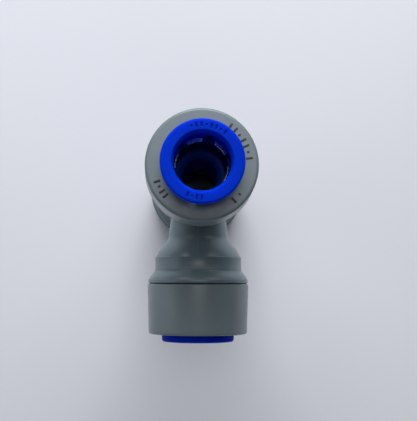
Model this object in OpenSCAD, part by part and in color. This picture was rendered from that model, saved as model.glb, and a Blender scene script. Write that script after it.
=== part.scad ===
// Equal tee push-in fitting for 9.5 mm tube.
// Three identical ports: two on the straight run (Z axis) and one branch (-Y).
// The origin is the centre of the bottom port's face, which the fitting stands on.
// Each port is drawn along +Z from the point where the three axes cross.

/* [Overall] */
// Distance from the crossing of the axes to the face of each end cap
arm_len = 30.1; // [29.9:0.1:31]
// Outside diameter of an end cap at its base
cap_d = 20; // [19.8:0.1:21]
// Height of an end cap
cap_h = 9.75; // [9.6:0.05:10]
// How much the cap's radius shrinks from its base to its face
cap_taper = 0.28; // [0.1:0.02:0.4]
// Width of the seam between the body and an end cap
seam_w = 0.25; // [0.1:0.05:0.35]

/* [Body] */
// Diameter of the body where the three arms meet
neck_d = 10.6; // [10.2:0.1:11.2]
// Diameter of the neck where it starts to flare
neck_end_d = 11.86; // [11.4:0.02:12.2]
// Diameter of the band between the neck and the cap
band_d = 17.15; // [17:0.05:17.6]
// Diameter of the flow passages
passage_d = 6.6; // [5.6:0.1:7]

/* [Tube socket] */
// Nominal outside diameter of the tube
tube_d = 9.5; // [9.4:0.02:9.56]
// Radial clearance between the tube and the bores it slides through
tube_clearance = 0.1; // [0.04:0.02:0.1]
// Depth of the tube stop, measured from the crossing of the axes
stop_at = 12; // [11.5:0.1:12.4]

/* [Seals] */
// Thickness of an O-ring's section
o_ring_w = 1.86; // [1.8:0.02:1.9]
// Inside diameter of an O-ring, a little under the tube
o_ring_id = 9.2; // [9.1:0.02:9.24]
// Thickness of the spacer ring and of the retaining washer
ring_t = 1; // [0.8:0.05:1]

/* [Collet] */
// Outside diameter of the collet's flange
flange_d = 14.22; // [14:0.02:14.6]
// Thickness of the collet's flange
flange_t = 1.47; // [1.2:0.01:1.6]
// How far a collet slides between pressed in and drawn out
collet_travel = 3.6; // [2:0.1:3.6]
// Width of the slots between the collet's fingers
slot_w = 1.1; // [0.8:0.1:1.3]
// Thickness of the steel of a gripping tooth
tooth_t = 0.3; // [0.2:0.02:0.34]

/* [Hidden] */
$fn = 96;

// Body along one arm, from the crossing of the axes outwards
neck_start = 5.5;
neck_end = 11;
band_start = 15;
band_end = 17.6;
flare_end = 19.35;
cap_base = arm_len - cap_h;
body_shoulder = cap_base - seam_w;
seam_depth = 0.22;
flare_r = cap_d / 2 - 0.17;
spigot_r = 8.65;
spigot_len = 3.95;
spigot_end = cap_base + spigot_len;

// Bores along one arm
fit_gap = 0.05;
ring_r = tube_d / 2 + 0.4;
bore_r = tube_d / 2 + tube_clearance;
socket_end = stop_at + 2.5;
seat_r = 6.5;
seal_w = o_ring_w + 0.24;
spacer_at = socket_end + seal_w;
outer_seal_at = spacer_at + ring_t;
washer_at = outer_seal_at + seal_w;
chamber_at = washer_at + ring_t;
chamber_r = 7.3;

// Cap's inner cone, which squeezes the fingers as the collet is drawn out
cap_step = spigot_end + 0.1;
cone_at = arm_len - 3.7;
cone_end = arm_len - 1.5;
guide_r = 6.3;

// Collet, drawn with its face at zero and its fingers towards minus Z
head_gap = 0.1;
sleeve_r = guide_r - head_gap;
head_r = chamber_r - head_gap;
flange_gap = 0.03;
face_in = arm_len + flange_gap + flange_t;
face_out = face_in + collet_travel;
collet_len = face_in - chamber_at - 0.2;
head_cone_at = face_out - cone_at;
head_cone_end = face_out - cone_end;
slot_end = 3.4;
mouth_r = bore_r + 0.4;
lead_in = 1;
relief_r = bore_r + 0.2;
FINGERS = 6;
slot_turn = 15;

// Gripping teeth, set in pockets in the fingers' heads
tooth_arc = 33;
tooth_root_r = 6.3;
tooth_tip_r = 4.45;
tooth_root_at = collet_len - 2.9;
tooth_drop = 1.6;
pocket_gap = 0.05;

function arc_points(centre, r, from, to, steps = 6) = [
    for (i = [0 : steps])
        let (a = from + (to - from) * i / steps)
            centre + r * [cos(a), sin(a)]
];

// A flare that leaves the narrow part softly and arrives with a visible edge
function flare(u) = (1 - cos(150 * pow(u, 0.75))) / (1 - cos(150));

function flare_points(r1, z1, r2, z2, steps = 12) = [
    for (i = [0 : steps])
        let (u = i / steps)
            [r1 + (r2 - r1) * flare(u), z1 + (z2 - z1) * u]
];

// Places one port's pieces: the run's top, the run's bottom or the branch
module at_port(port) {
    turn = port == "top" ? 0 : port == "bottom" ? 180 : 90;
    translate([0, 0, face_in])
        rotate([turn, 0, 0])
            children();
}

// A flat ring between two heights
module ring(outer_r, inner_r, z1, z2) {
    rotate_extrude()
        translate([inner_r, z1])
            square([outer_r - inner_r, z2 - z1]);
}

// Outside of one arm of the body, from the crossing to the end of its spigot
module arm() {
    rotate_extrude()
        polygon(concat(
            [[0, 0], [neck_d / 2, 0], [neck_d / 2, neck_start]],
            flare_points(neck_end_d / 2, neck_end, band_d / 2 - 0.2, band_start),
            [[band_d / 2, band_start + 0.3]],
            flare_points(band_d / 2 + 0.02, band_end, flare_r, flare_end),
            [
                [flare_r + 0.03, body_shoulder - 0.15],
                [flare_r - 0.12, body_shoulder],
                [flare_r - seam_depth, body_shoulder],
                [flare_r - seam_depth, cap_base - fit_gap],
                [spigot_r, cap_base - fit_gap],
                [spigot_r, spigot_end],
                [0, spigot_end]
            ]
        ));
}

// Everything that one arm's passage, seats and chamber take away
module arm_bores() {
    rotate_extrude()
        polygon([
            [0, 0],
            [passage_d / 2, 0],
            [passage_d / 2, stop_at - 1],
            [passage_d / 2 + 0.8, stop_at],
            [bore_r, stop_at],
            [bore_r, socket_end],
            [seat_r, socket_end],
            [seat_r, chamber_at],
            [chamber_r, chamber_at],
            [chamber_r, spigot_end + 1],
            [0, spigot_end + 1]
        ]);
}

module body() {
    color([0.33, 0.37, 0.4])
        difference() {
            for (port = ["top", "bottom", "branch"])
                at_port(port) arm();
            for (port = ["top", "bottom", "branch"])
                at_port(port) arm_bores();
        }
}

module cap() {
    face_r = cap_d / 2 - cap_taper;
    lip = 0.2;
    fillet = 0.45;
    color([0.4, 0.43, 0.46])
        rotate_extrude()
            polygon(concat(
                [[spigot_r + fit_gap, cap_base]],
                arc_points([cap_d / 2 - lip, cap_base + lip], lip, -90, 0),
                arc_points([face_r - fillet, arm_len - fillet], fillet, 0, 90),
                [
                    [guide_r + 0.3, arm_len],
                    [guide_r, arm_len - 0.3],
                    [guide_r, cone_end],
                    [chamber_r, cone_at],
                    [chamber_r, cap_step],
                    [spigot_r + fit_gap, cap_step]
                ]
            ));
}

// One collet with its face at zero: flange, sleeve and six fingers with tapered heads
module collet() {
    edge = 0.35;
    color([0.02, 0.18, 0.78])
        difference() {
            rotate_extrude()
                polygon(concat(
                    [
                        [relief_r, -collet_len],
                        [head_r - 0.3, -collet_len],
                        [head_r, 0.3 - collet_len],
                        [head_r, -head_cone_at],
                        [sleeve_r, -head_cone_end],
                        [sleeve_r, -flange_t],
                        [flange_d / 2, -flange_t]
                    ],
                    arc_points([flange_d / 2 - edge, -edge], edge, 0, 90),
                    [
                        [mouth_r, 0],
                        [bore_r, -lead_in],
                        [bore_r, -slot_end],
                        [relief_r, -slot_end - 0.2]
                    ]
                ));
            for (i = [0 : FINGERS - 1])
                rotate([0, 0, slot_turn + 360 / FINGERS * i])
                    finger_slot();
            for (i = [0 : FINGERS - 1])
                rotate([0, 0, slot_turn + 360 / FINGERS * (i + 0.5)])
                    tooth_sector(tooth_arc + 1.5, pocket_gap);
        }
}

// One radial slot, open at the fingers' ends and round at the flange's side
module finger_slot() {
    round_at = -slot_end - slot_w / 2;
    translate([0, -slot_w / 2, -collet_len - 1])
        cube([chamber_r + 1, slot_w, collet_len + 1 + round_at]);
    translate([0, 0, round_at])
        rotate([0, 90, 0])
            cylinder(d = slot_w, h = chamber_r + 1);
}

// A slanted strip swept through part of a turn: a tooth, or its pocket with a gap round it
module tooth_sector(arc, gap) {
    inner_r = gap > 0 ? bore_r - 0.5 : tooth_tip_r;
    tip_drop = tooth_drop * (tooth_root_r - inner_r) / (tooth_root_r - tooth_tip_r);
    rotate([0, 0, -arc / 2])
        rotate_extrude(angle = arc)
            polygon([
                [tooth_root_r + gap, gap - tooth_root_at],
                [inner_r, gap - tooth_root_at - tip_drop],
                [inner_r, -gap - tooth_t - tooth_root_at - tip_drop],
                [tooth_root_r + gap, -gap - tooth_t - tooth_root_at]
            ]);
}

module collet_teeth() {
    color([0.8, 0.81, 0.82])
        for (i = [0 : FINGERS - 1])
            rotate([0, 0, slot_turn + 360 / FINGERS * (i + 0.5)])
                tooth_sector(tooth_arc, 0);
}

// An O-ring lying in its seat from the given height
module o_ring(z) {
    color([0.06, 0.06, 0.06])
        rotate_extrude()
            translate([(o_ring_id + o_ring_w) / 2, z + seal_w / 2])
                circle(d = o_ring_w);
}

module inner_o_ring() {
    o_ring(socket_end);
}

module outer_o_ring() {
    o_ring(outer_seal_at);
}

module spacer_ring() {
    color([0.04, 0.12, 0.4])
        ring(seat_r - fit_gap, ring_r, spacer_at, outer_seal_at - fit_gap);
}

module retaining_washer() {
    color([0.04, 0.12, 0.4])
        ring(seat_r - fit_gap, ring_r, washer_at + fit_gap, chamber_at);
}

// The top collet is stored drawn out, and the other two pressed in
module collet_place(port) {
    at_port(port)
        translate([0, 0, port == "top" ? face_out : face_in])
            children();
}

body();
for (port = ["top", "bottom", "branch"]) {
    at_port(port) cap();
    collet_place(port) collet();
    collet_place(port) collet_teeth();
    at_port(port) inner_o_ring();
    at_port(port) spacer_ring();
    at_port(port) outer_o_ring();
    at_port(port) retaining_washer();
}
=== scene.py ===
import math

import bmesh
import bpy
import numpy as np
from mathutils import Matrix, Vector


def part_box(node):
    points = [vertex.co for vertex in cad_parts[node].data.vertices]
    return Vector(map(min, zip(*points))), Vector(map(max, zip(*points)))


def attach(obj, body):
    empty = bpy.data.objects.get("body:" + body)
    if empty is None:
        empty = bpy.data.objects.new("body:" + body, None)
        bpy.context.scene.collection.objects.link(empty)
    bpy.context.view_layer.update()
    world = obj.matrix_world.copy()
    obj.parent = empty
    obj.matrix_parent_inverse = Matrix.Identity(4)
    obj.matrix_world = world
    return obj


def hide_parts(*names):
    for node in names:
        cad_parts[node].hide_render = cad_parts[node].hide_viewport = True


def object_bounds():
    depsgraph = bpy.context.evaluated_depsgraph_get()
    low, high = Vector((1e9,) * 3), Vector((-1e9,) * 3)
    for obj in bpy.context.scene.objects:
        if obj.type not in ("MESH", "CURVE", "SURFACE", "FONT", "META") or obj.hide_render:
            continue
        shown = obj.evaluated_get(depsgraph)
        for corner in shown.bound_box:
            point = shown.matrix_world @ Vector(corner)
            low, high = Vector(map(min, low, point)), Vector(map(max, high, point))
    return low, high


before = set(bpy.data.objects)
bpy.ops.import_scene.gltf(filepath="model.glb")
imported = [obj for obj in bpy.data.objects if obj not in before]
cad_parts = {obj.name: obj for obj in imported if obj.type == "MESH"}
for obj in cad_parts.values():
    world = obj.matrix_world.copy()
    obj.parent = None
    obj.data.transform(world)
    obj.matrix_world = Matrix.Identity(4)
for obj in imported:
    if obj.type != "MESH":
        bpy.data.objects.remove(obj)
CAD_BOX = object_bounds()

MM = 0.001
PORTS = ("top", "bottom", "branch")


# ---------------------------------------------------------------- sizes, in mm, from the frame

def box_mm(node):
    low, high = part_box(node)
    return low / MM, high / MM


JUNCTION_Z = sum(corner.z for corner in box_mm("cap_branch")) / 2
FIT_GAP = 0.05


def along_top(node):
    """The two heights of a node of the top port, measured from the crossing of the axes."""
    low, high = box_mm(node)
    return low.z - JUNCTION_Z, high.z - JUNCTION_Z


CAP_BASE, CAP_FACE = along_top("cap_top")
CAP_R = box_mm("cap_top")[1].x
SPIGOT_END = along_top("body")[1]
SHOULDER_R = box_mm("body")[1].x
SEAT_R = box_mm("spacer_ring_top")[1].x + FIT_GAP
SPACER = along_top("spacer_ring_top")
WASHER = along_top("retaining_washer_top")
HEAD_R = box_mm("collet_top")[1].x
COLLET_LEN = box_mm("collet_top")[1].z - box_mm("collet_top")[0].z
FACE_OUT = along_top("collet_top")[1]
FACE_IN = -box_mm("collet_branch")[0].y

# Sizes of single features, which a node's box doesn't give; they repeat part.scad's
CAP_TAPER = 0.28
SEAM = 0.25
SHOULDER = CAP_BASE - SEAM
NECK_R = 5.3
NECK_START = 5.5
NECK_END_R = 5.93
NECK_END = 11.0
BAND_R = 8.575
BAND_START = 15.0
BAND_END = 17.6
FLARE_END = 19.35
SPIGOT_R = 8.65
SEAM_DEPTH = 0.22
CHAMBER_R = 7.3
BORE_R = 4.85
RELIEF_R = 5.05
MOUTH_R = 5.25
LEAD_IN = 1.0
PASSAGE_R = 3.3
TUBE_STOP = 12.0
SOCKET_END = 14.5
CAP_STEP = SPIGOT_END + 0.1
CONE_AT = CAP_FACE - 3.7
CONE_END = CAP_FACE - 1.5
GUIDE_R = 6.3
SLEEVE_R = 6.2
FLANGE_R = 7.11
FLANGE_T = 1.47
SLOT_END = 3.4
SLOT_W = 1.1
FINGERS = 6
SLOT_TURN = 15
TOOTH_ARC = 33
TOOTH_ROOT_R = 6.3
TOOTH_TIP_R = 4.45
TOOTH_AT = COLLET_LEN - 2.9
TOOTH_DROP = 1.6
TOOTH_T = 0.3

# Fine detail that only these meshes have
BAND_LIP = 0.03
BAND_BEAD = 0.05
TOOTH_EDGE = 0.03
BURR_BASE = (0.18, 0.16)  # width and height of the burr's outer foot
BURR_CREST = (0.12, 0.21)
RING_EDGE = 0.12
RING_BORE_GAP = 0.3

# Fineness of the meshes
SHARP_DEG = 32
BODY_SHARP_DEG = 40
SEAL_SHARP_DEG = 60
CAP_SEGMENTS = 192
RING_SEGMENTS = 128
TOOTH_SEGMENTS = 18
SEAL_POINTS = 32


# ---------------------------------------------------------------- outlines

def rounded(corners, steps=5):
    """A closed outline of (radius, height, rounding) corners, each turned into a short arc."""
    out = []
    count = len(corners)
    for i, (r, z, q) in enumerate(corners):
        p = Vector((r, z))
        a = Vector(corners[i - 1][:2]) - p
        b = Vector(corners[(i + 1) % count][:2]) - p
        angle = a.angle(b)
        reach = min(q / math.tan(angle / 2), 0.45 * a.length, 0.45 * b.length)
        if reach < 1e-4:
            out.append((r, z))
            continue
        q = reach * math.tan(angle / 2)
        a.normalize()
        b.normalize()
        centre = p + (a + b).normalized() * q / math.sin(angle / 2)
        start = p + a * reach - centre
        turn = start.angle_signed(p + b * reach - centre)
        for k in range(steps + 1):
            t = -turn * k / steps
            out.append((
                centre.x + start.x * math.cos(t) - start.y * math.sin(t),
                centre.y + start.x * math.sin(t) + start.y * math.cos(t),
            ))
    return out


FLARE_TURN = math.radians(150)
FLARE_POWER = 0.75
NECK_POWER = 1.2


def flare(u):
    """Rises from 0 to 1, leaving softly and arriving with a slope."""
    return (1 - math.cos(FLARE_TURN * u ** FLARE_POWER)) / (1 - math.cos(FLARE_TURN))


def flare_points(r1, z1, r2, z2, steps=18):
    return [(r1 + (r2 - r1) * flare(i / steps), z1 + (z2 - z1) * i / steps) for i in range(steps + 1)]


def neck_radius(s):
    u = min(max((s - NECK_START) / (NECK_END - NECK_START), 0), 1)
    return NECK_R + (NECK_END_R - NECK_R) * u ** NECK_POWER


# ---------------------------------------------------------------- mesh making

PORT_TURN = {"top": 0, "bottom": math.pi, "branch": math.pi / 2}


def port_matrix(port, along=0.0):
    """From a port's own frame, in mm with +Z outwards, to the row frame in metres."""
    turn = Matrix.Rotation(PORT_TURN[port], 4, "X")
    lift = Matrix.Translation((0, 0, JUNCTION_Z * MM))
    return lift @ turn @ Matrix.Scale(MM, 4) @ Matrix.Translation((0, 0, along))


def mesh_object(name, verts, faces, matrix=None, sharp_deg=SHARP_DEG, merge=0.0):
    """A smooth-shaded mesh object from points and faces, with outward normals."""
    work = bmesh.new()
    made = [work.verts.new(v) for v in verts]
    for face in faces:
        work.faces.new([made[i] for i in face])
    if merge:
        bmesh.ops.remove_doubles(work, verts=work.verts, dist=merge)
    bmesh.ops.recalc_face_normals(work, faces=work.faces)
    if matrix is not None:
        work.transform(matrix)
    mesh = bpy.data.meshes.new(name)
    work.to_mesh(mesh)
    work.free()
    mesh.shade_smooth()
    mesh.set_sharp_from_angle(angle=math.radians(sharp_deg))
    obj = bpy.data.objects.new(name, mesh)
    bpy.context.scene.collection.objects.link(obj)
    return obj


def lathe(outline, segments=160, arc=360.0, start=0.0):
    """Points and faces of a closed outline turned about Z, all the way or through an arc with end caps."""
    whole = arc >= 360
    columns = segments if whole else segments + 1
    verts = []
    for i in range(columns):
        a = math.radians(start + arc * i / segments)
        verts += [(r * math.cos(a), r * math.sin(a), z) for r, z in outline]
    n = len(outline)
    faces = []
    for i in range(segments):
        j = (i + 1) % columns
        for k in range(n):
            m = (k + 1) % n
            faces.append((i * n + k, j * n + k, j * n + m, i * n + m))
    if not whole:
        faces.append(tuple(range(n)))
        faces.append(tuple((columns - 1) * n + k for k in range(n)))
    return verts, faces


def joined(parts):
    """Several (points, faces) lists as one."""
    verts, faces = [], []
    for more_verts, more_faces in parts:
        base = len(verts)
        verts += more_verts
        faces += [tuple(base + i for i in face) for face in more_faces]
    return verts, faces


def moved(part, matrix):
    verts, faces = part
    return [tuple(matrix @ Vector(v)) for v in verts], faces


def cut(obj, cutter, material_mode="INDEX"):
    """Takes the cutter away from obj and removes it."""
    tool = obj.modifiers.new("cut", "BOOLEAN")
    tool.operation = "DIFFERENCE"
    tool.solver = "EXACT"
    tool.material_mode = material_mode
    tool.object = cutter
    bpy.context.view_layer.update()
    shape = obj.evaluated_get(bpy.context.evaluated_depsgraph_get())
    mesh = bpy.data.meshes.new_from_object(shape)
    obj.modifiers.clear()
    obj.data = mesh
    bpy.data.objects.remove(cutter)


def finished(obj, body, node, slot_name, *materials):
    for material in materials:
        obj.data.materials.append(material)
    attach(obj, body)
    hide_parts(node)


# ---------------------------------------------------------------- the tee body

BODY_COLUMNS = 144
BODY_MERGE = 0.002
PARTING_OFFSETS = (-1.6, -0.7, 0.7, 1.6)
PARTING_HALF_DEG = 1.0
PARTING_HEIGHT = 0.06
PARTING_EDGE_SHARE = 0.8
PARTING_MIN_R = PASSAGE_R + 1.7
PARTING_END = BAND_START - 0.3
CROTCH_STEPS = 30
CROTCH_END = 8.0
CROTCH_BLEND = 2.4
NECK_STEPS = 9
PASSAGE_STEPS = 8
BORE_WALL_R = BORE_R + 0.1


def body_angles():
    """Column angles in degrees, with extra ones on both sides of the mould's parting line."""
    angles = [i * 360 / BODY_COLUMNS for i in range(BODY_COLUMNS)]
    angles += [side + offset for side in (90, 270) for offset in PARTING_OFFSETS]
    return sorted(angles)


def body_outside():
    """The arm's outline from the end of the crotch to the end of the spigot."""
    neck = [(neck_radius(s), s) for s in np.linspace(CROTCH_END, NECK_END, NECK_STEPS + 1)[:-1]]
    shoulder = flare_points(NECK_END_R, NECK_END, BAND_R - 0.2, BAND_START)
    band = [
        (BAND_R - 0.02, BAND_START + 0.03),
        (BAND_R + BAND_LIP, BAND_START + 0.10),
        (BAND_R + 0.02, BAND_START + 0.22),
        (BAND_R, BAND_START + 0.35),
        (BAND_R, BAND_END - 0.24),
        (BAND_R + BAND_BEAD, BAND_END - 0.14),
        (BAND_R + BAND_BEAD, BAND_END - 0.05),
    ]
    flared = flare_points(BAND_R + 0.02, BAND_END, SHOULDER_R - 0.12, FLARE_END)
    edge = [
        (SHOULDER_R - 0.03, FLARE_END + 0.03),
        (SHOULDER_R, FLARE_END + 0.10),
        (SHOULDER_R, SHOULDER - 0.1),
        (SHOULDER_R - 0.02, SHOULDER - 0.04),
        (SHOULDER_R - 0.06, SHOULDER),
        (SHOULDER_R - SEAM_DEPTH, SHOULDER),
        (SHOULDER_R - SEAM_DEPTH, CAP_BASE - FIT_GAP),
    ]
    spigot = [(SPIGOT_R, CAP_BASE - FIT_GAP), (SPIGOT_R, SPIGOT_END - 0.2), (SPIGOT_R - 0.2, SPIGOT_END)]
    return neck + shoulder + band + flared + edge + spigot


def body_inside():
    """The bores' outline from the spigot's end inwards to the passage."""
    return [
        (CHAMBER_R + 0.2, SPIGOT_END),
        (CHAMBER_R, SPIGOT_END - 0.2),
        (CHAMBER_R, WASHER[1]),
        (SEAT_R + 0.1, WASHER[1]),
        (SEAT_R, WASHER[1] - 0.1),
        (SEAT_R, SOCKET_END),
        (BORE_R + 0.15, SOCKET_END),
        (BORE_R, SOCKET_END - 0.15),
        (BORE_R, TUBE_STOP + 0.1),
        (BORE_R - 0.1, TUBE_STOP),
        (PASSAGE_R + 0.9, TUBE_STOP),
        (PASSAGE_R + 0.75, TUBE_STOP - 0.06),
        (PASSAGE_R + 0.1, TUBE_STOP - 0.95),
        (PASSAGE_R, TUBE_STOP - 1.3),
    ]


def crease(port, radius, angle):
    """How far along an arm its wall of this radius starts, where it meets the other arms."""
    across = radius * math.sin(angle)
    return abs(across) if port == "branch" else max(0.0, -across)


def arm_point(port, radius, angle, s):
    across = radius * math.sin(angle)
    if port == "branch":
        return (radius * math.cos(angle), -s, across)
    return (radius * math.cos(angle), across, s if port == "top" else -s)


def crotch_distance(p):
    """Below zero inside the three necks, blended where the branch leaves the run."""
    x, y, z = p
    run = math.hypot(x, y) - neck_radius(abs(z))
    if y > 0:
        return run
    branch = math.hypot(x, z) - neck_radius(-y)
    width = CROTCH_BLEND * max(0.0, 1 - (x / NECK_R) ** 2)
    if width < 1e-6:
        return min(run, branch)
    h = max(width - abs(run - branch), 0) / width
    return min(run, branch) - h * h * width / 4


AXES = (Vector((1, 0, 0)), Vector((0, 1, 0)), Vector((0, 0, 1)))


def onto_crotch(p):
    """Moves a point of the necks onto the blended surface."""
    step = 1e-3
    p = Vector(p)
    for _ in range(6):
        value = crotch_distance(p)
        if abs(value) < 1e-5:
            break
        slope = Vector([
            (crotch_distance(p + step * axis) - crotch_distance(p - step * axis)) / (2 * step)
            for axis in AXES
        ])
        if slope.length < 1e-6:
            break
        p = p - slope * value / slope.length_squared
    return tuple(p)


def arm_mesh(port):
    """One arm, inside and out, as far as its creases with the other arms."""
    outside, inside = body_outside(), body_inside()
    angles = [math.radians(a) for a in body_angles()]
    verts = []
    for a in angles:
        start = crease(port, NECK_R, a)
        for i in range(CROTCH_STEPS):
            s = start + (CROTCH_END - start) * i / CROTCH_STEPS
            verts.append(onto_crotch(arm_point(port, neck_radius(s), a, s)))
        verts += [arm_point(port, r, a, s) for r, s in outside + inside]
        inner_start = crease(port, PASSAGE_R, a)
        last = inside[-1][1]
        for i in range(1, PASSAGE_STEPS + 1):
            verts.append(arm_point(port, PASSAGE_R, a, last + (inner_start - last) * i / PASSAGE_STEPS))
    n = CROTCH_STEPS + len(outside) + len(inside) + PASSAGE_STEPS
    columns = len(angles)
    faces = []
    for i in range(columns):
        j = (i + 1) % columns
        faces += [(i * n + k, j * n + k, j * n + k + 1, i * n + k + 1) for k in range(n - 1)]
    return verts, faces


def raise_parting_line(obj):
    """Lifts the thin line that the two halves of the mould leave on the outside, on the plane x = 0."""
    mesh = obj.data
    line = []
    for v in mesh.vertices:
        x, y, z = v.co.x / MM, v.co.y / MM, v.co.z / MM - JUNCTION_Z
        s = -y if -y > abs(z) else abs(z)
        across = abs(z) if -y > abs(z) else abs(y)
        on_outside = across > PARTING_MIN_R and s < PARTING_END
        if on_outside and abs(x) < math.radians(PARTING_HALF_DEG) * across:
            line.append((v.index, v.normal.copy(), 1.0 if abs(x) < 1e-4 else PARTING_EDGE_SHARE))
    for index, normal, share in line:
        mesh.vertices[index].co += normal * PARTING_HEIGHT * share * MM


def is_inside(point):
    """True for the walls of the passages and sockets, which are painted blue to stand in for the blue light
    inside the bores.
    """
    x, y, z = point.x, point.y, point.z - JUNCTION_Z
    in_run = math.hypot(x, y) < BORE_WALL_R
    in_branch = y < 0 and math.hypot(x, z) < BORE_WALL_R
    return in_run or in_branch


def is_in_seam(point):
    """True for the groove between the shoulder and the cap, which is painted near-black as shade."""
    s = max(abs(point.z - JUNCTION_Z), -point.y)
    return SHOULDER + 0.01 < s < CAP_BASE


def make_body():
    verts, faces = joined([arm_mesh(port) for port in PORTS])
    matrix = Matrix.Translation((0, 0, JUNCTION_Z * MM)) @ Matrix.Scale(MM, 4)
    obj = mesh_object("tee_body", verts, faces, matrix, BODY_SHARP_DEG, BODY_MERGE)
    raise_parting_line(obj)
    finished(obj, "fitting", "body", "grey_body", GREY_BODY, BORE_PAINTED_BLUE_LIGHT, SEAM_PAINTED_SHADE)
    for face in obj.data.polygons:
        point = face.center / MM
        if is_inside(point):
            face.material_index = 1
        elif is_in_seam(point):
            face.material_index = 2


# ---------------------------------------------------------------- caps, collets and rings

PAD_FOOT = -0.1  # how deep a mark's foot is sunk
PAD_TURN = 0.6  # share of its height and rounding where its edge turns in
PAD_ROUNDING = 0.12
PAD_END_SHARE = 0.98
PAD_END_STEPS = 8


def pad(length, width, height):
    """A raised bar with round ends, lying along X, for the plain marks that stand in for lettering."""
    rows = []
    for inset, z in ((0, PAD_FOOT), (0, height * PAD_TURN), (PAD_ROUNDING * PAD_TURN, height)):
        half_l, half_w = length / 2 - inset, width / 2 - inset
        r = half_w * PAD_END_SHARE
        ring = []
        for cx, from_deg in ((half_l - r, -90), (-half_l + r, 90)):
            for i in range(PAD_END_STEPS + 1):
                a = math.radians(from_deg + 180 / PAD_END_STEPS * i)
                ring.append((cx + r * math.cos(a), r * math.sin(a), z))
        rows.append(ring)
    n = len(rows[0])
    verts = [p for ring in rows for p in ring]
    faces = []
    for base in (0, n):
        for i in range(n):
            j = (i + 1) % n
            faces.append((base + i, base + j, base + n + j, base + n + i))
    faces += [tuple(range(n)), tuple(range(2 * n, 3 * n))]
    return verts, faces


DOT_STRETCH = 1.25


def marks(radius, height, groups, length, width, z):
    """Radial bars and dots round a face: groups of (first angle, last angle, how many)."""
    parts = []
    for first, last, count in groups:
        for i in range(count):
            angle = first + (last - first) * i / max(count - 1, 1)
            dot = i % 3 == 1
            shape = pad(width * DOT_STRETCH if dot else length, width, height)
            place = Matrix.Rotation(math.radians(angle), 4, "Z") @ Matrix.Translation((radius, 0, z))
            parts.append(moved(shape, place))
    return joined(parts)


CAP_MARKS = [(201, 221, 4), (8, 54, 7), (312, 322, 2)]
CAP_MARK_R = 8.15
CAP_MARK_HEIGHT = 0.1
CAP_MARK_LENGTH = 1.2
CAP_MARK_WIDTH = 0.4
COLLET_MARKS = [(52, 108, 8), (246, 269, 4)]
COLLET_MARK_R = 6.05
COLLET_MARK_DEPTH = 0.12
COLLET_MARK_LENGTH = 0.95
COLLET_MARK_WIDTH = 0.36


def add_marks(obj, part, matrix, material_index):
    """Joins the marks to a finished mesh, with their own material."""
    work = bmesh.new()
    work.from_mesh(obj.data)
    old = set(work.faces)
    made = [work.verts.new(matrix @ Vector(v)) for v in part[0]]
    for face in part[1]:
        work.faces.new([made[i] for i in face])
    new = [f for f in work.faces if f not in old]
    bmesh.ops.recalc_face_normals(work, faces=new)
    for face in new:
        face.material_index = material_index
        face.smooth = True
    work.to_mesh(obj.data)
    work.free()
    obj.data.set_sharp_from_angle(angle=math.radians(SHARP_DEG))


def make_cap(port):
    outline = rounded([
        (SPIGOT_R + FIT_GAP, CAP_BASE, 0.05),
        (CAP_R, CAP_BASE, 0.12),
        (CAP_R - CAP_TAPER, CAP_FACE, 0.5),
        (GUIDE_R, CAP_FACE, 0.3),
        (GUIDE_R, CONE_END, 0.3),
        (CHAMBER_R, CONE_AT, 0.1),
        (CHAMBER_R, CAP_STEP, 0.1),
        (SPIGOT_R + FIT_GAP, CAP_STEP, 0.05),
    ], steps=7)
    obj = mesh_object("end_cap_" + port, *lathe(outline, CAP_SEGMENTS), port_matrix(port))
    part = marks(CAP_MARK_R, CAP_MARK_HEIGHT, CAP_MARKS, CAP_MARK_LENGTH, CAP_MARK_WIDTH, CAP_FACE)
    add_marks(obj, part, port_matrix(port), 1)
    finished(obj, "fitting", "cap_" + port, "grey_cap", GREY_CAP, CAP_MARK_PAINTED_SHADE)


def collet_along(port):
    return FACE_OUT if port == "top" else FACE_IN


SLOT_CUT_R = (3.4, 9.0)
SLOT_CUT_PAST = 1
SLOT_ARC_STEPS = 10


def slot_cutter():
    """Six long slots with round ends, as one mesh."""
    top = -SLOT_END - SLOT_W / 2
    half = SLOT_W / 2
    foot = -COLLET_LEN - SLOT_CUT_PAST
    outline = [(-half, foot)]
    for i in range(SLOT_ARC_STEPS + 1):
        a = math.pi * i / SLOT_ARC_STEPS
        outline.append((-half * math.cos(a), top + half * math.sin(a)))
    outline.append((half, foot))
    n = len(outline)
    verts = [(r, t, z) for r in SLOT_CUT_R for t, z in outline]
    faces = [(i, (i + 1) % n, n + (i + 1) % n, n + i) for i in range(n)]
    faces += [tuple(range(n)), tuple(range(n, 2 * n))]
    turns = [Matrix.Rotation(math.radians(SLOT_TURN + 360 / FINGERS * i), 4, "Z") for i in range(FINGERS)]
    return joined([moved((verts, faces), turn) for turn in turns])


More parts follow.
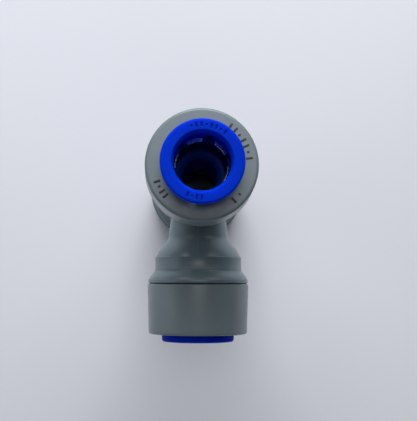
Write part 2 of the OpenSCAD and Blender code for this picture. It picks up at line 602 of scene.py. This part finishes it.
def make_collet(port):
    cone_at, cone_end = FACE_OUT - CONE_AT, FACE_OUT - CONE_END
    outline = rounded([
        (RELIEF_R, -COLLET_LEN, 0.1),
        (HEAD_R, -COLLET_LEN, 0.35),
        (HEAD_R, -cone_at, 0.2),
        (SLEEVE_R, -cone_end, 0.3),
        (SLEEVE_R, -FLANGE_T, 0.1),
        (FLANGE_R, -FLANGE_T, 0.12),
        (FLANGE_R, 0, 0.45),
        (MOUTH_R, 0, 0.06),
        (BORE_R, -LEAD_IN, 0.3),
        (BORE_R, -SLOT_END, 0),
        (RELIEF_R, -SLOT_END - 0.2, 0),
    ], steps=6)
    obj = mesh_object("release_collet_" + port, *lathe(outline, CAP_SEGMENTS))
    obj.data.materials.append(BLUE)
    cut(obj, mesh_object("slots", *slot_cutter()))
    raised = marks(COLLET_MARK_R, COLLET_MARK_DEPTH, COLLET_MARKS, COLLET_MARK_LENGTH, COLLET_MARK_WIDTH, 0.0)
    tool = mesh_object("engraving", *moved(raised, Matrix.Scale(-1, 4, (0, 0, 1))))
    tool.data.materials.append(BLUE_MARK_PAINTED_SHADE)
    cut(obj, tool, "TRANSFER")
    obj.data.transform(port_matrix(port, collet_along(port)))
    obj.data.shade_smooth()
    obj.data.set_sharp_from_angle(angle=math.radians(SHARP_DEG))
    finished(obj, port + "_collet", "collet_" + port, "blue_collet")


def make_teeth(port):
    tip = -TOOTH_AT - TOOTH_DROP
    outline = rounded([
        (TOOTH_ROOT_R, -TOOTH_AT, TOOTH_EDGE),
        (TOOTH_TIP_R + BURR_BASE[0], tip + BURR_BASE[1], TOOTH_EDGE),
        (TOOTH_TIP_R + BURR_CREST[0], tip + BURR_CREST[1], TOOTH_EDGE),
        (TOOTH_TIP_R, tip + BURR_BASE[1], 0.07),
        (TOOTH_TIP_R, tip - TOOTH_T, 0.05),
        (TOOTH_ROOT_R, -TOOTH_AT - TOOTH_T, TOOTH_EDGE),
    ], steps=4)
    teeth = []
    for i in range(FINGERS):
        middle = SLOT_TURN + 360 / FINGERS * (i + 0.5)
        teeth.append(lathe(outline, TOOTH_SEGMENTS, TOOTH_ARC, middle - TOOTH_ARC / 2))
    obj = mesh_object("gripping_teeth_" + port, *joined(teeth), port_matrix(port, collet_along(port)))
    finished(obj, port + "_collet", "collet_teeth_" + port, "stainless_teeth", STEEL)


def make_o_ring(port, which):
    low, high = along_top(which + "_o_ring_top")
    radius = (high - low) / 2
    middle_r = box_mm(which + "_o_ring_top")[1].x - radius
    outline = []
    for i in range(SEAL_POINTS):
        a = 2 * math.pi * i / SEAL_POINTS
        outline.append((middle_r + radius * math.cos(a), (low + high) / 2 + radius * math.sin(a)))
    turned = lathe(outline, RING_SEGMENTS)
    obj = mesh_object(which + "_seal_" + port, *turned, port_matrix(port), SEAL_SHARP_DEG)
    finished(obj, "fitting", which + "_o_ring_" + port, "black_rubber", RUBBER_PAINTED_BLUE_LIGHT)


def make_ring(port, name, span):
    low, high = span
    outer = SEAT_R - FIT_GAP
    inner = BORE_R + RING_BORE_GAP
    corners = ((inner, low), (outer, low), (outer, high), (inner, high))
    outline = rounded([(r, z, RING_EDGE) for r, z in corners])
    obj = mesh_object(name + "_piece_" + port, *lathe(outline, RING_SEGMENTS), port_matrix(port))
    finished(obj, "fitting", name + "_" + port, "ring_plastic", RING_PAINTED_BLUE_LIGHT)


# ---------------------------------------------------------------- materials

def material(name):
    made = bpy.data.materials.new(name)
    made.use_nodes = True
    nodes, links = made.node_tree.nodes, made.node_tree.links
    return made, nodes, links, nodes["Principled BSDF"]


def noise(nodes, links, coord, scale, detail=3.0, roughness=0.55):
    n = nodes.new("ShaderNodeTexNoise")
    n.inputs["Scale"].default_value = scale
    n.inputs["Detail"].default_value = detail
    n.inputs["Roughness"].default_value = roughness
    links.new(coord, n.inputs["Vector"])
    return n.outputs["Fac"]


def mapped(nodes, links, value, low, high, from_low=0.3, from_high=0.7):
    m = nodes.new("ShaderNodeMapRange")
    m.inputs["From Min"].default_value = from_low
    m.inputs["From Max"].default_value = from_high
    m.inputs["To Min"].default_value = low
    m.inputs["To Max"].default_value = high
    links.new(value, m.inputs["Value"])
    return m.outputs["Result"]


def ramp(nodes, links, value, *stops):
    r = nodes.new("ShaderNodeValToRGB")
    elements = r.color_ramp.elements
    while len(elements) < len(stops):
        elements.new(0.5)
    for element, (at, colour) in zip(elements, stops):
        element.position = at
        element.color = (*colour, 1)
    links.new(value, r.inputs["Fac"])
    return r.outputs["Color"]


FLOW_SCALE = 90.0
PATCH_SCALE = 700.0
PATCH_SPREAD = 0.06
GRAIN_SCALE = 9000.0
GRAIN_STRENGTH = 0.55
COAT_ROUGHNESS = 0.22
SUBSURFACE_RADIUS = (0.02, 0.2, 1.0)
SUBSURFACE_SCALE = 0.003


def moulded(name, colour, spread, roughness, grain=0.00002, subsurface=0.0, shine=0.5, coat=0.0):
    """Moulded plastic: slow flow shading, a fine matt grain, and small changes of gloss."""
    made, nodes, links, shader = material(name)
    coord = nodes.new("ShaderNodeTexCoord").outputs["Object"]
    flow = noise(nodes, links, coord, FLOW_SCALE, 4.0)
    low = tuple(c * (1 - spread) for c in colour)
    high = tuple(min(c * (1 + spread), 1) for c in colour)
    links.new(ramp(nodes, links, flow, (0.32, low), (0.68, high)), shader.inputs["Base Color"])
    patches = noise(nodes, links, coord, PATCH_SCALE, 2.0)
    gloss = mapped(nodes, links, patches, roughness - PATCH_SPREAD, roughness + PATCH_SPREAD)
    links.new(gloss, shader.inputs["Roughness"])
    grains = noise(nodes, links, coord, GRAIN_SCALE, 2.0, 0.6)
    bump = nodes.new("ShaderNodeBump")
    bump.inputs["Strength"].default_value = GRAIN_STRENGTH
    bump.inputs["Distance"].default_value = grain
    links.new(grains, bump.inputs["Height"])
    links.new(bump.outputs["Normal"], shader.inputs["Normal"])
    shader.inputs["Specular IOR Level"].default_value = shine
    shader.inputs["Coat Weight"].default_value = coat
    shader.inputs["Coat Roughness"].default_value = COAT_ROUGHNESS
    if subsurface:
        shader.inputs["Subsurface Weight"].default_value = subsurface
        shader.inputs["Subsurface Radius"].default_value = SUBSURFACE_RADIUS
        shader.inputs["Subsurface Scale"].default_value = SUBSURFACE_SCALE
    return made


STEEL_DARK = (0.34, 0.35, 0.37)
STEEL_LIGHT = (0.55, 0.56, 0.58)
STEEL_STRETCH = (1.0, 1.0, 12.0)
STEEL_LINE_SCALE = 3000.0
STEEL_LINE_DEPTH = 0.000005


def stainless(name):
    """Stamped stainless steel with fine drawn lines along the strip."""
    made, nodes, links, shader = material(name)
    shader.inputs["Metallic"].default_value = 1.0
    coord = nodes.new("ShaderNodeTexCoord").outputs["Object"]
    stretch = nodes.new("ShaderNodeMapping")
    stretch.inputs["Scale"].default_value = STEEL_STRETCH
    links.new(coord, stretch.inputs["Vector"])
    lines = noise(nodes, links, stretch.outputs["Vector"], STEEL_LINE_SCALE, 3.0)
    colour = ramp(nodes, links, lines, (0.3, STEEL_DARK), (0.7, STEEL_LIGHT))
    links.new(colour, shader.inputs["Base Color"])
    links.new(mapped(nodes, links, lines, 0.16, 0.32), shader.inputs["Roughness"])
    bump = nodes.new("ShaderNodeBump")
    bump.inputs["Strength"].default_value = 0.3
    bump.inputs["Distance"].default_value = STEEL_LINE_DEPTH
    links.new(lines, bump.inputs["Height"])
    links.new(bump.outputs["Normal"], shader.inputs["Normal"])
    return made


TABLE_DARK = (0.70, 0.722, 0.80)
TABLE_LIGHT = (0.74, 0.763, 0.845)
TABLE_SCALE = 7.0


def table_top(name):
    """A plain pale surface with slow changes of tone."""
    made, nodes, links, shader = material(name)
    coord = nodes.new("ShaderNodeTexCoord").outputs["Object"]
    slow = noise(nodes, links, coord, TABLE_SCALE, 2.0)
    colour = ramp(nodes, links, slow, (0.3, TABLE_DARK), (0.7, TABLE_LIGHT))
    links.new(colour, shader.inputs["Base Color"])
    shader.inputs["Roughness"].default_value = 0.75
    shader.inputs["Specular IOR Level"].default_value = 0.2
    return made


GREY_BODY = moulded("grey_body_plastic", (0.120, 0.176, 0.208), 0.07, 0.36, coat=0.18)
# painted blue light: the grey body's inner walls are coloured blue to stand in for the blue light inside the
# bores
BORE_PAINTED_BLUE_LIGHT = moulded("bore_painted_blue_light", (0.005, 0.10, 0.62), 0.07, 0.45, shine=0.2)
# painted shade: the floor of the seam groove is coloured near-black to stand in for the shadow in the crease
SEAM_PAINTED_SHADE = moulded("seam_painted_shade", (0.012, 0.015, 0.017), 0.2, 0.7)
GREY_CAP = moulded("grey_cap_plastic", (0.146, 0.190, 0.216), 0.05, 0.36, grain=0.00003, coat=0.18)
# painted shade: the raised marks are moulded in the cap's own grey and are coloured near-black to stand in
# for the shading round them
CAP_MARK_PAINTED_SHADE = moulded("cap_mark_painted_shade", (0.03, 0.036, 0.04), 0.1, 0.5)
BLUE = moulded(
    "blue_collet_plastic", (0.0003, 0.032, 0.56), 0.06, 0.50, grain=0.00001, subsurface=0.6, shine=0.03)
# painted shade: the engraved marks are cut in the collet's own blue and are coloured darker to stand in for
# the shade in the recesses
BLUE_MARK_PAINTED_SHADE = moulded("blue_mark_painted_shade", (0.0005, 0.014, 0.30), 0.06, 0.45, grain=0.00001, shine=0.03)
STEEL = stainless("stainless_steel")
# painted blue light: the black rubber seals are tinted navy blue to stand in for the dim blue light inside
# the bores
RUBBER_PAINTED_BLUE_LIGHT = moulded("seal_rubber_painted_blue_light", (0.004, 0.022, 0.15), 0.15, 0.5, grain=0.00001, shine=0.1)
# painted blue light and shade: the spacer rings and washers are coloured dark navy blue to stand in for the
# dim blue light inside the bores
RING_PAINTED_BLUE_LIGHT = moulded("ring_plastic", (0.003, 0.06, 0.48), 0.06, 0.45, grain=0.00001)


# ---------------------------------------------------------------- floor, light and camera

FLOOR_SIZE = 1.2
FLOOR_CELLS = 24
FLOOR_GAP = 0.00002


def make_floor():
    bpy.ops.mesh.primitive_grid_add(
        x_subdivisions=FLOOR_CELLS, y_subdivisions=FLOOR_CELLS, size=FLOOR_SIZE, location=(0, 0, 0))
    floor = bpy.context.object
    floor.name = "table_top"
    floor.location.z = CAD_BOX[0].z - FLOOR_GAP
    floor.data.materials.append(table_top("table_top"))


ROOM_COLOUR = (0.86, 0.90, 1.0, 1)
ROOM_STRENGTH = 0.03
WARM = (1.0, 0.99, 0.98)
COOL = (0.95, 0.98, 1.0)
CREAM = (1.0, 0.99, 0.96)
LIGHTS = (
    # name, place, size, power, colour
    ("wide_window", (0, 0.35, 0.40), (0.90, 0.20), 1.31, WARM),
    ("window", (0, 0.30, 0.35), (0.40, 0.25), 0.30, WARM),
    ("lamp", (0, 0.35, 0.25), (0.28, 0.15), 1.28, WARM),
    ("left", (-0.30, 0, 0.13), (0.20, 0.20), 0.10, COOL),
    ("front", (0, -0.35, 0.15), (0.30, 0.20), 0.12, COOL),
    ("overhead", (0, 0.10, 0.55), (0.25, 0.25), 0.42, CREAM),
)


def area_light(name, place, aim, size, power, colour):
    data = bpy.data.lights.new(name, "AREA")
    data.shape = "RECTANGLE"
    data.size, data.size_y = size
    data.energy = power
    data.color = colour
    lamp = bpy.data.objects.new(name, data)
    lamp.location = place
    lamp.rotation_euler = (Vector(aim) - Vector(place)).to_track_quat("-Z", "Y").to_euler()
    bpy.context.scene.collection.objects.link(lamp)


def make_light():
    world = bpy.data.worlds.new("soft_room")
    world.use_nodes = True
    background = world.node_tree.nodes["Background"]
    background.inputs["Color"].default_value = ROOM_COLOUR
    background.inputs["Strength"].default_value = ROOM_STRENGTH
    bpy.context.scene.world = world
    bpy.context.scene.view_settings.view_transform = "Standard"
    centre = (0, 0, JUNCTION_Z * MM)
    for name, place, size, power, colour in LIGHTS:
        area_light(name, place, centre, size, power, colour)


CAMERA_AT = Vector((-3.64, -20.02, 225.91)) * MM
CAMERA_AIM = Vector((1.14, -7.85, 61.7)) * MM
CAMERA_ROLL = math.radians(0.23)
LENS = 83.32
SENSOR = 36.0


def make_camera():
    data = bpy.data.cameras.new("photo_camera")
    data.lens = LENS
    data.sensor_width = SENSOR
    data.clip_start = 0.005
    camera = bpy.data.objects.new("photo_camera", data)
    back = (CAMERA_AT - CAMERA_AIM).normalized()
    up = (Vector((0, 1, 0)) - back * back.y).normalized()
    right = up.cross(back)
    turn = Matrix((right, up, back)).transposed().to_4x4()
    roll = Matrix.Rotation(CAMERA_ROLL, 4, "Z")
    camera.matrix_world = Matrix.Translation(CAMERA_AT) @ turn @ roll
    bpy.context.scene.collection.objects.link(camera)
    bpy.context.scene.camera = camera


make_camera()
make_body()
for port_name in PORTS:
    make_cap(port_name)
    make_collet(port_name)
    make_teeth(port_name)
    make_o_ring(port_name, "inner")
    make_o_ring(port_name, "outer")
    make_ring(port_name, "spacer_ring", SPACER)
    make_ring(port_name, "retaining_washer", WASHER)
make_floor()
make_light()
